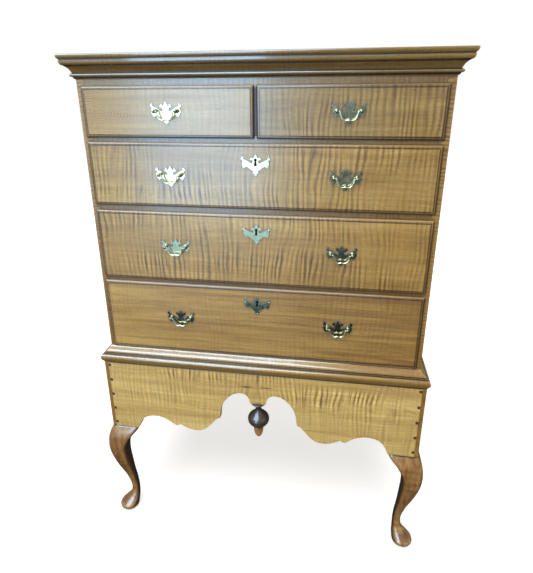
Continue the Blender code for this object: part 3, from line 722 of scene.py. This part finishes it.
# ---- the frame ----
# right half of the apron's lower edge, from the pendant block to the leg
APRON_LOBES = drawn("""
    25,503.6* 26.2,513 30,525 39,535 52,538.8 68,536 83,528 96,516 106.5,501 114,484 118.5,466
    120.5,448 121.5,437* 133,432 142,422 156,404 170,390 186,381 204,378.5 222,381 240,388
    255,396.5* 267,390.5* 277,394.5 293,406 311,415 332,419.5 353,418 371,411 384,399 393,384
    401,364.8*""")


def fingers():
    """Low and high edges of the fingers of a corner joint, from the top one down."""
    middles = [FRAME_TOP - FINGER_TOP - i * FINGER_PITCH for i in range(5)]
    return [(middle - FINGER_H / 2, middle + FINGER_H / 2) for middle in middles]


def apron():
    shoulder = FRAME_X - LAP - FIT
    root = FRAME_X - BOARD - FIT
    half = [(shoulder, FRAME_TOP)]
    for low, high in fingers():
        half += [(shoulder, high + FIT), (root, high + FIT), (root, low - FIT), (shoulder, low - FIT)]
    half += [(shoulder, FRAME_LOW)] + outline(APRON_LOBES)[::-1]
    obj = shape("frame_apron_board", 30.0, prism, mirrored(half), FRONT, FRONT + BOARD, facing_front)
    ease(obj, 0.0007)
    # the pale, blue-leaning tones partly paint the window light and bluish reflected haze on the apron;
    # the line at its top is painted shadow under the waist moulding
    wood = figured_maple("maple_apron", "X", 43, ripple=0.55, rings=0.25, heart=(0.1, 0.52, 0.03, 0.09),
                         gloss=0.4, tones=honey(1.53, 1.74, 2.35),
                         flames=((0.18, 0.545, 0.14, 0.05, 1.0), (-0.2, 0.59, 0.16, 0.03, 0.9),
                                 (0.02, 0.6, 0.12, 0.03, 0.7), (0.33, 0.56, 0.1, 0.03, 0.9)),
                         knots=((-0.035, 0.565, 0.005, 6.0), (0.025, 0.5665, 0.0035, 7.0)),
                         quirks=((FRAME_TOP, 0.0045),))
    place(obj, "carcass", "maple", wood, "frame_apron")


def side_boards():
    """Side boards of the frame: an arch below, fingers at both ends."""
    end = BACK - 0.0895
    steps = 48
    points = [(FRONT, FRAME_TOP), (BACK, FRAME_TOP), (BACK, FRAME_LOW), (end, FRAME_LOW)]
    for i in range(1, steps):
        share = pi * i / steps
        points.append((end * cos(share), FRAME_LOW + 0.05 * sin(share) ** 0.6))
    points += [(-end, FRAME_LOW), (FRONT, FRAME_LOW)]
    edges = [KNEE_Z - 0.01] + [z for finger in fingers()[::-1] for z in finger] + [FRAME_TOP + 0.01]
    for side, word in ((-1, "left"), (1, "right")):
        near, far = sorted((side * (FRAME_X - BOARD), side * FRAME_X))
        obj = shape("frame_side_board_" + word, 30.0, prism, points, near, far, facing_side)
        notches = bmesh.new()
        inner, lap = sorted((side * (FRAME_X - BOARD - 0.005), side * (FRAME_X - LAP)))
        for low, high in zip(edges[::2], edges[1::2]):
            add_box(notches, (inner, FRONT - 0.005, low), (lap, FRONT + BOARD + FIT, high))
            add_box(notches, (inner, BACK - BOARD - FIT, low), (lap, BACK + 0.005, high))
        cut(obj, from_bmesh("notches", notches), 30.0)
        ease(obj, 0.0005)
        wood = figured_maple("maple_frame_side_" + word, "Y", 45 + side, ripple=0.6, rings=0.4,
                             stained=FRAME_X - LAP)
        place(obj, "carcass", "maple", wood, "frame_side_" + word)


# cabriole leg: height, outer and inner face inward from the frame's corner in
# millimetres, and how square the section is
LEG = [(height / 1000, outer / 1000, inner / 1000, square) for height, outer, inner, square in (
    (0, -8.5, 38.5, 2.0), (1.2, -10.5, 40.5, 2.0), (5.2, -11.2, 41.2, 2.0),
    (6.6, -15, 44.7, 2.0), (10, -17.2, 46.6, 2.0), (14, -17.8, 47.4, 2.0),
    (20, -15.2, 48, 2.0), (30, -3, 48.6, 2.0), (40, 9.5, 48, 2.1), (52, 18.5, 47.6, 2.2),
    (75, 21.6, 47.6, 2.3), (100, 19.5, 46.8, 2.4), (125, 14.5, 45, 2.6), (150, 8.5, 43, 2.7),
    (200, -6.5, 40.5, 3.0), (250, -17.5, 38.5, 3.4), (285, -21.3, 40.5, 3.8),
    (308, -20.5, 49, 4.4), (328, -18, 62, 5.0), (345, -12.5, 77, 6.0), (356, -7, 85, 7.0),
    (362, -3, 88, 8.0), (364.5, -0.5, 88.5, 8.0))]


def leg_ring(height, outer, inner, squareness, sides=64):
    middle = (outer + inner) / 2
    half = (inner - outer) / 2
    ring = []
    for i in range(sides):
        a = 2 * pi * (i + 0.5) / sides
        c, s = cos(a), sin(a)
        stretch = (abs(c) ** squareness + abs(s) ** squareness) ** (-1 / squareness)
        ring.append((middle + half * stretch * c, middle + half * stretch * s, height))
    return ring


def legs():
    """Each leg is shaped at a corner and turned to face its own way."""
    wing, hollow_low, hollow_high, outside = 0.044, 0.3, 0.4, 0.2
    post_near, post_low, post_high = BOARD + 0.0003, 0.34, 0.59
    post_far = post_near + 0.036
    corners = (("leg_front_left", -1, -1), ("leg_front_right", 1, -1), ("leg_rear_right", 1, 1),
               ("leg_rear_left", -1, 1))
    for index, (name, sx, sy) in enumerate(corners):
        leg = shape(name + "_carved", None, loft, [leg_ring(*row) for row in through(LEG, 5)])
        cut(leg, shape("hollow", None, add_box, (wing, wing, hollow_low), (outside, outside, hollow_high)))
        cut(leg, shape("post", None, add_box, (post_near, post_near, post_low),
                       (post_far, post_far, post_high)), 38.0, "UNION")
        spot = Matrix.Translation((sx * FRAME_X, sy * BACK, 0))
        leg.data.transform(spot @ Matrix.Rotation(index * pi / 2, 4, "Z"))
        # painted shade on the inner faces, and a line of dark finish and painted shade where the knees
        # meet the frame
        wood = figured_maple("maple_" + name, "Z", 51 + index, tones=tinted(RUSSET, (0.92, 0.88, 0.86)),
                             ripple=0.45, ripple_size=0.03, rings=0.12, gloss=0.12, streaks=0.9,
                             quirks=((KNEE_Z, 0.0022),), inward=-sx)
        place(leg, "carcass", "turned_maple", wood, name)


# pendant: radius and depth below the apron's block
PENDANT = drawn("""
    21,0.3* 22,1 22.4,2.2 21.4,3.6 19,4.4* 15,5.2 11.6,7.2 9.6,10.5 8.8,15.5 9,21.5 10.4,27.5
    13.4,32.5* 14.2,33.2 19,38.8 26.2,45 31.6,52 33.5,60 32.2,68.5 27.2,76.5 19,83.2 12,87.2*
    10.8,88.8 11.2,90.4* 14.2,91.8 15.1,96 15,101 14,109 11.8,118 8.2,125.5 4,130 0.4,131.5*""")


def pendant():
    low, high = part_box("pendant_drop")
    block = high.z - 0.024
    turned = [(radius, -drop) for radius, drop in outline(PENDANT, 3)]
    profile = [(radius, block + along) for radius, along in drawn("0.4,24 6,24 6,0") + turned]
    obj = shape("pendant_turning", 32.0, lathe, profile,
                ((low.x + high.x) / 2, (low.y + high.y) / 2, 0.0))
    wood = figured_maple("maple_pendant", "Z", 61, ripple=0.2, gloss=0.08, drift=(-11.0, 0.425),
                         tones=((0.05, 0.03, 0.02), (0.115, 0.078, 0.055), (0.5, 0.25, 0.075)))
    place(obj, "carcass", "turned_maple", wood, "pendant_drop")


# ---- drawers ----
def lip_section():
    """Inset from the lip's edge and depth behind the face, from the back round to the field."""
    width, start, rise, steps = 0.0066, 0.006, 0.0046, 8
    angles = [pi - pi / 2 * i / steps for i in range(steps + 1)]
    rounded = [(width * (1 + cos(angle)), start - rise * sin(angle)) for angle in angles]
    return [(0.0, LIP_T)] + rounded + drawn("7.4,1.4 7.6,0.9 8.2,0")


def tails(low, high, count):
    """Middle heights and half widths of the dovetails between two heights."""
    pitch = (high - low) / count
    return [(low + pitch * (i + 0.5), pitch * 0.36) for i in range(count)]


def keyhole(radius, waist, length, steps=16):
    """Keyhole outline about the middle of its round top."""
    points = []
    for i in range(steps):
        a = -pi / 2 + 0.65 + (2 * pi - 1.3) * i / (steps - 1)
        points.append((radius * cos(a), radius * sin(a)))
    points += [(-waist, -length * 0.45), (-radius * 0.95, -length), (-waist, -length - 0.002),
               (waist, -length - 0.002), (radius * 0.95, -length), (waist, -length * 0.45)]
    return points


def comb(heights, root, tip, spread=0.0):
    """Edge of a dovetailed end: each tail is wider at the tip than at the root."""
    points = []
    flare = abs(tip - root) * 0.16 + spread
    for middle, half in heights:
        points += [(root, middle - half - spread), (tip, middle - half - flare),
                   (tip, middle + half + flare), (root, middle + half + spread)]
    return points


def sockets(low, high, root, tip, heights):
    """A cutter that leaves room for the tails of both sides of a drawer box."""
    bm = bmesh.new()
    for near, far in ((low.x - CUT_PAST, low.x + BOX_BOARD + FIT),
                      (high.x - BOX_BOARD - FIT, high.x + CUT_PAST)):
        for tail in heights:
            prism(bm, comb([tail], root, tip, FIT), near, far, facing_side)
    return from_bmesh("sockets", bm)


def drawer_front(name, heights, look, knots):
    low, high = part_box(name + "_drawer_front")
    rings = [(inset, low.y + depth) for inset, depth in reversed(lip_section())]
    rings += [(LIP_OVER, low.y + LIP_T), (LIP_OVER, high.y)]
    rings = [[(low.x + i, y, low.z + i), (high.x - i, y, low.z + i),
              (high.x - i, y, high.z - i), (low.x + i, y, high.z - i)] for i, y in rings]
    body = name + "_drawer"
    front = shape(body + "_board", 26.0, loft, rings)
    cut(front, sockets(*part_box(body + "_box"), high.y + CUT_PAST, TAIL_LAP - FIT, heights), 26.0)
    if name in LOCKED:
        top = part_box(name + "_escutcheon")[1].z - KEYHOLE_DROP
        points = [(x, top + z) for x, z in keyhole(0.0041, 0.0029, 0.0142)]
        cut(front, shape("keyhole", None, prism, points, low.y - 0.01, high.y + 0.01, facing_front), 26.0)
    wood = figured_maple("maple_" + name + "_front", "X", knots=knots,
                         lip=((low.x, low.z), (high.x, high.z)), **look)
    place(front, body, "maple", wood, body + "_front")


def drawer_box(name, heights):
    """Dovetailed sides and back, and a bottom nailed up into them."""
    body = name + "_drawer"
    low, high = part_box(body + "_box")
    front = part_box(body + "_front")[1].y
    back = high.y - BOX_BOARD
    seed = 71 + 3 * DRAWERS.index(name)
    wood = bare_pine("pine_" + name + "_sides", "Y", seed, dust=0.15)
    boards = []
    points = [(front, low.z), (back, low.z)] + comb(heights, back, high.y)
    points += [(back, high.z), (front, high.z)] + comb(heights, front, TAIL_LAP)[::-1]
    for side, near in (("left", low.x), ("right", high.x - BOX_BOARD)):
        board = shape(body + "_side_" + side, None, prism, points, near, near + BOX_BOARD, facing_side)
        boards.append((board, wood))
    rear = shape(body + "_back", None, add_box, (low.x, back, low.z + BOX_BOARD),
                 (high.x, high.y, high.z - 0.004))
    cut(rear, sockets(low, high, back - CUT_PAST, high.y + CUT_PAST, heights))
    boards.append((rear, bare_pine("pine_" + name + "_back", "X", seed + 1, dust=0.15)))
    bottom = shape(body + "_bottom", None, add_box, (low.x + BOX_BOARD, front, low.z + 0.002),
                   (high.x - BOX_BOARD, high.y - 0.001, low.z + 0.009))
    boards.append((bottom, bare_pine("pine_" + name + "_bottom", "Y", seed + 2, dust=0.2)))
    for board, material in boards:
        ease(board, 0.0004)
        place(board, body, "pine", material, body + "_box")


def drawers():
    looks = {
        "top_left": dict(seed=101, ripple=0.22, rings=0.9, heart=(-0.415, 1.375, 0.002, 0.42),
                         spacing=0.004, reach=0.085, tones=honey(0.86, 0.87, 0.92)),
        "top_right": dict(seed=108, ripple=0.85, rings=0.1, tones=honey(0.68, 0.7, 0.74),
                          flames=((0.1, 1.37, 0.1, 0.09, 0.4),)),
        "upper": dict(seed=115, ripple=0.95, rings=0.1, tones=honey(0.9, 0.92, 0.96),
                      flames=((-0.25, 1.165, 0.3, 0.025, 0.6),)),
        "middle": dict(seed=122, ripple=1.0, rings=0.14, heart=(0.45, 1.01, 0.03, -0.06), gloss=0.32,
                       tones=honey(0.88, 0.86, 0.76),
                       flames=((0.1, 0.965, 0.26, 0.06, 0.9), (-0.28, 0.955, 0.15, 0.04, 0.7))),
        "lower": dict(seed=131, ripple=0.3, rings=0.3, heart=(0.0, 0.62, 0.03, 0.02), streaks=1.0,
                      drift=(-0.34, -0.02), gloss=0.4, tones=honey(0.9, 0.86, 0.72)),
    }
    knots = {"top_right": ((0.375, 1.422, 0.0016, 1.6), (0.408, 1.43, 0.0014, 1.2))}
    for name in DRAWERS:
        low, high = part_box(name + "_drawer_box")
        heights = tails(low.z, high.z, 3 if name.startswith("top") else 4)
        drawer_front(name, heights, looks[name], knots.get(name, ()))
        drawer_box(name, heights)


# ---- brasses ----
# right half of a pull plate in millimetres, from the spire down
PLATE_HALF = drawn("""
    0,24* 1.6,21.6 2.6,19.4 4.2,15.6 7,11* 7.6,13.2 9.4,15.6 12.2,18.5* 13,16.2 14.2,13.2
    15.8,9.3* 12.6,9 9.6,7.6 7.6,4.4 7.4,1.2 9.2,-1 12.6,-0.8 18.5,3.2 24,7.4 28,9.6 32,10.6*
    34.4,12.4 34.9,15.4 34.6,17.2 36.4,19.6* 38.4,16.6 42,13.4* 39.4,10.4 37,8.2 36.2,6.6* 38.4,4
    39.4,0.8 39.4,-3.4 36.8,-8.6 34,-12.4 31.5,-15.5* 30.2,-13 27.8,-11 24.8,-10.2 22,-10.4
    18.4,-13.2 15.4,-16 10.6,-19.6 6.6,-21.8* 5.2,-23.2 5.2,-25 7.4,-26.8* 4.2,-28.8 1.8,-31.2
    0,-33.5*""")

# right half of an escutcheon in millimetres, about the round top of its keyhole
ESCUTCHEON_HALF = drawn("""
    0,14.5* 1.4,12.2 2.6,10.4 3.9,8.1 6.9,4.2* 8.6,5.4 10.8,7.1* 12,5.8 13.2,3.8 15.4,-0.3*
    12.4,0.4 9.8,-0.2 7.2,-2.2 6.8,-5.2 8,-7.8 10.4,-8.6 13.4,-7.6 22.2,-2.6 29.4,1 32,2.6*
    32.2,4.4 31.4,6.2 33.3,9.3* 35.6,6 39.4,2.6* 36,-0.4 33,-3.2* 35,-6.6 35.4,-10.2 34.3,-14.8
    32.8,-18.6 30.7,-22.2* 28.6,-19.4 25.4,-18.2 21.4,-18.2 17.4,-20.8 13,-24.6 9.4,-27.2
    6.2,-28.6* 5.4,-29.6 5.6,-30.8 8.8,-32.8* 5.2,-35 2.2,-38.4 0,-42.1*""")


def bevelled_plate(name, half, x, z, back, hole=()):
    """A cast plate, its front edge filed to a bevel."""
    bm = bmesh.new()
    prism(bm, [(x + u, z + v) for u, v in mirrored(outline(half, 3))], back, back - PLATE_T,
          facing_front)
    front = [e for e in bm.edges if all(abs(v.co.y - back + PLATE_T) < 1e-6 for v in e.verts)]
    bmesh.ops.bevel(bm, geom=front, offset=0.001, segments=1, profile=0.5, affect="EDGES",
                    clamp_overlap=True)
    plate = from_bmesh(name, bm, 20.0)
    if hole:
        points = [(x + u, z + v) for u, v in hole]
        cut(plate, shape("hole", None, prism, points, back - 0.01, back + 0.01, facing_front), 20.0)
    return plate


# a post from the plate out: radius, distance in front of the plate
POST = drawn("""
    0.4,0* 5.4,0* 5.5,0.6 4.8,1.4* 3.6,2.2 3,4 3.1,5.8 3.6,6.8* 4.3,7.8 4.7,10 4.5,12.2 3.6,14
    2,15 0.4,15.3*""")


def pull(name, body, x, z, pivot_y, brass, post_brass, bail_brass):
    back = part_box(name + "_plate")[1].y
    plate = bevelled_plate(name + "_cast_plate", PLATE_HALF, x, z, back)
    place(plate, body, "brass", brass, name + "_plate")
    profile = [(radius, back - PLATE_T - out) for radius, out in outline(POST, 3)]
    posts = bmesh.new()
    pins = bmesh.new()
    for side in (-1, 1):
        px = x + side * POST_X
        lathe(posts, profile, (px, 0.0, z), "Y", 24)
        tube(pins, [(px - side * 0.01, pivot_y, z), (px + side * 0.001, pivot_y, z)], (0.0017,) * 2)
    post_pair = from_bmesh(name + "_posts", posts)
    cut(post_pair, from_bmesh("pins", pins), 30.0)
    place(post_pair, body, "brass", post_brass)
    place(bail(name, x, z, pivot_y), name + "_bail", "bail_brass", bail_brass, name + "_bail")


def bail(name, x, z, pivot_y):
    """Pins turned in at the ends, tapered arms, and a knop at the bottom."""
    inner = POST_X - 0.0077
    half = [(POST_X - 0.0004, 0.0), (inner + 0.0034, 0.0), (inner + 0.0012, -0.0006),
            (inner, -0.0028), (inner - 0.0006, -0.007), (inner - 0.0024, -0.0126),
            (inner - 0.0058, -0.018), (inner - 0.0108, -0.0212), (0.006, -0.0216),
            (0.003, -0.0212), (0.001, -0.0208)]
    path = through([(-u, v) for u, v in half] + half[::-1], 4)
    radii = []
    for u, v in path:
        middle = abs(u)
        if middle > inner + 0.0022:
            radii.append(0.0013)
        elif middle < 0.003:
            radii.append(0.0021 + 0.0006 * cos(middle / 0.003 * pi / 2))
        else:
            radii.append(0.0018 + 0.0003 * max(0.0, 1 - middle / inner))
    return shape(name + "_swan_bail", 50.0, tube, [(x + u, pivot_y, z + v) for u, v in path], radii, 14)


def escutcheon(level, brass):
    low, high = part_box(level + "_escutcheon")
    z = high.z - KEYHOLE_DROP
    body = level + "_drawer"
    plate = bevelled_plate(level + "_cast_escutcheon", ESCUTCHEON_HALF, 0.0, z, high.y,
                           keyhole(0.0038, 0.0026, 0.0138))
    place(plate, body, "brass", brass, level + "_escutcheon")
    bm = bmesh.new()
    for x, drop in ((-0.0345, 0.0), (0.0345, 0.0), (0.0, -0.0365)):
        lathe(bm, drawn("0.3,0 1.3,0 1.2,-0.5 0.8,-0.9 0.2,-1.1"), (x, high.y - PLATE_T, z + drop),
              "Y", 12)
    place(from_bmesh(level + "_escutcheon_pins", bm, 32.0), body, "brass", brass)


def brasses():
    plate_brass = cast_brass("plate_brass", ((0.62, 0.58, 0.42), (0.78, 0.73, 0.54)), 0.12)
    post_brass = cast_brass("post_brass", ((0.22, 0.18, 0.1), (0.42, 0.35, 0.2)), 0.22)
    bail_brass = cast_brass("bail_brass", ((0.6, 0.49, 0.27), (0.82, 0.7, 0.44)), 0.28, 0.2)
    for joint in frame["joints"]:
        if joint["type"] == "hinge":
            x, pivot_y, z = joint["pos_m"]
            name = joint["child"].removesuffix("_bail")
            pull(name, joint["parent"], x, z, pivot_y, plate_brass, post_brass, bail_brass)
    for level in LOCKED:
        escutcheon(level, plate_brass)


# ---- studio ----
def camera():
    """At a standing person's eye, a little right of the middle, looking down and left."""
    yaw, pitch, roll = radians(-9.13), radians(19.69), radians(-0.576)
    data = bpy.data.cameras.new("camera")
    data.lens = 28.853
    data.shift_x = 0.0129
    data.shift_y = -0.0719
    data.clip_start = 0.01
    obj = in_scene("camera", data)
    forward = Vector((sin(yaw) * cos(pitch), cos(yaw) * cos(pitch), -sin(pitch)))
    level = Vector((cos(yaw), -sin(yaw), 0.0))
    above = level.cross(forward)
    right = cos(roll) * level + sin(roll) * above
    up = right.cross(forward)
    turn = Matrix((right, up, -forward)).transposed()
    obj.matrix_world = Matrix.Translation((0.1948, -1.4073, 1.4452)) @ turn.to_4x4()
    bpy.context.scene.camera = obj


def area_light(name, position, target, size, power, colour, gloss=True, body=True):
    """A soft box. body is whether it lights surfaces, gloss whether they mirror it."""
    data = bpy.data.lights.new(name, "AREA")
    data.shape = "RECTANGLE"
    data.size, data.size_y = size
    data.energy = power
    data.color = colour
    obj = in_scene(name, data)
    obj.location = position
    obj.rotation_mode = "QUATERNION"
    aim = Vector(target) - Vector(position)
    obj.rotation_quaternion = aim.to_track_quat("-Z", "Y")
    obj.visible_camera = False
    obj.visible_glossy = gloss
    obj.visible_diffuse = body
    return obj


def light_apart(wood_light, brass_light):
    """The polished brasses mirror a dimmer window than the wood, so their shapes show."""
    pieces = [obj for obj in bpy.context.scene.objects
              if obj.active_material and obj.active_material.name.endswith("_brass")]
    for light, state in ((wood_light, "EXCLUDE"), (brass_light, "INCLUDE")):
        group = bpy.data.collections.new(light.name + "_brasses")
        for obj in pieces:
            group.objects.link(obj)
        for item in group.collection_objects:
            item.light_linking.link_state = state
        light.light_linking.receiver_collection = group


def lights():
    """A window and an overhead soft box light the piece; the sheens only show in its gloss."""
    chest = (-0.2, -0.2, 0.95)
    area_light("window", (-1.1, -3.6, 1.4), chest, (1.3, 1.9), 40.0, (1.0, 0.99, 0.97), gloss=False)
    sheen = ((-0.98, -3.2, 1.12), (-0.3, -0.2, 1.12), (1.15, 1.7))
    light_apart(area_light("window_sheen", *sheen, 62.0, (0.3, 0.62, 1.0), body=False),
                area_light("window_on_brass", *sheen, 12.0, (0.84, 0.96, 1.0), body=False))
    area_light("curtain_sheen", (-1.25, -3.3, 0.75), (-1.25, -0.2, 0.75), (2.5, 2.7), 19.0,
               (0.46, 0.8, 1.0), body=False)
    area_light("sky_sheen", (-1.2, -2.2, 3.2), (-0.2, 0.0, 0.9), (3.0, 2.4), 290.0,
               (0.5, 0.75, 1.0), body=False)
    area_light("overhead", (-0.2, -1.4, 3.6), (0.0, -0.2, 0.2), (3.2, 2.6), 110.0, (1.0, 1.0, 1.0),
               gloss=False)
    area_light("room_fill", (2.6, -1.6, 1.9), (0.0, 0.0, 0.8), (1.8, 1.8), 7.0, (1.0, 0.96, 0.9))


def world():
    """A white backdrop; light and reflections come from a room that is darker low down."""
    r = Recipe(bpy.data.worlds.new("studio"))
    height = r.parts(r.coords["Generated"])["Z"]
    seen = r.make("LightPath")
    shown = None
    for ray, colour, strength in (
            (None, (1.0, 0.98, 0.95), r.fit(height, -0.4, 0.5, 0.26, 0.62, smooth=False)),
            ("Is Glossy Ray", (0.78, 1.0, 1.0), r.fit(height, -0.42, 0.05, 0.02, 0.26, smooth=False)),
            ("Is Camera Ray", (1.0, 1.0, 1.0), 1.0)):
        shade = r.make("Background", {"Color": (*colour, 1.0), "Strength": strength})[0]
        if ray:
            shade = r.make("MixShader", {0: seen[ray], 1: shown, 2: shade})[0]
        shown = shade
    r.make("OutputWorld", {"Surface": shown})
    bpy.context.scene.world = r.owner


def floor():
    obj = shape("floor", None, add_box, (-9.0, -9.0, -0.02), (9.0, 9.0, -0.0002))
    obj.data.materials.append(pale_floor())
    obj.visible_glossy = False
    obj.visible_diffuse = False
    obj.visible_shadow = False


for step in (camera, world, floor, keep_boards, back_nails, mouldings, apron, side_boards, legs,
             pendant, drawers, brasses, lights):
    step()

bpy.context.scene.view_settings.view_transform = "Standard"
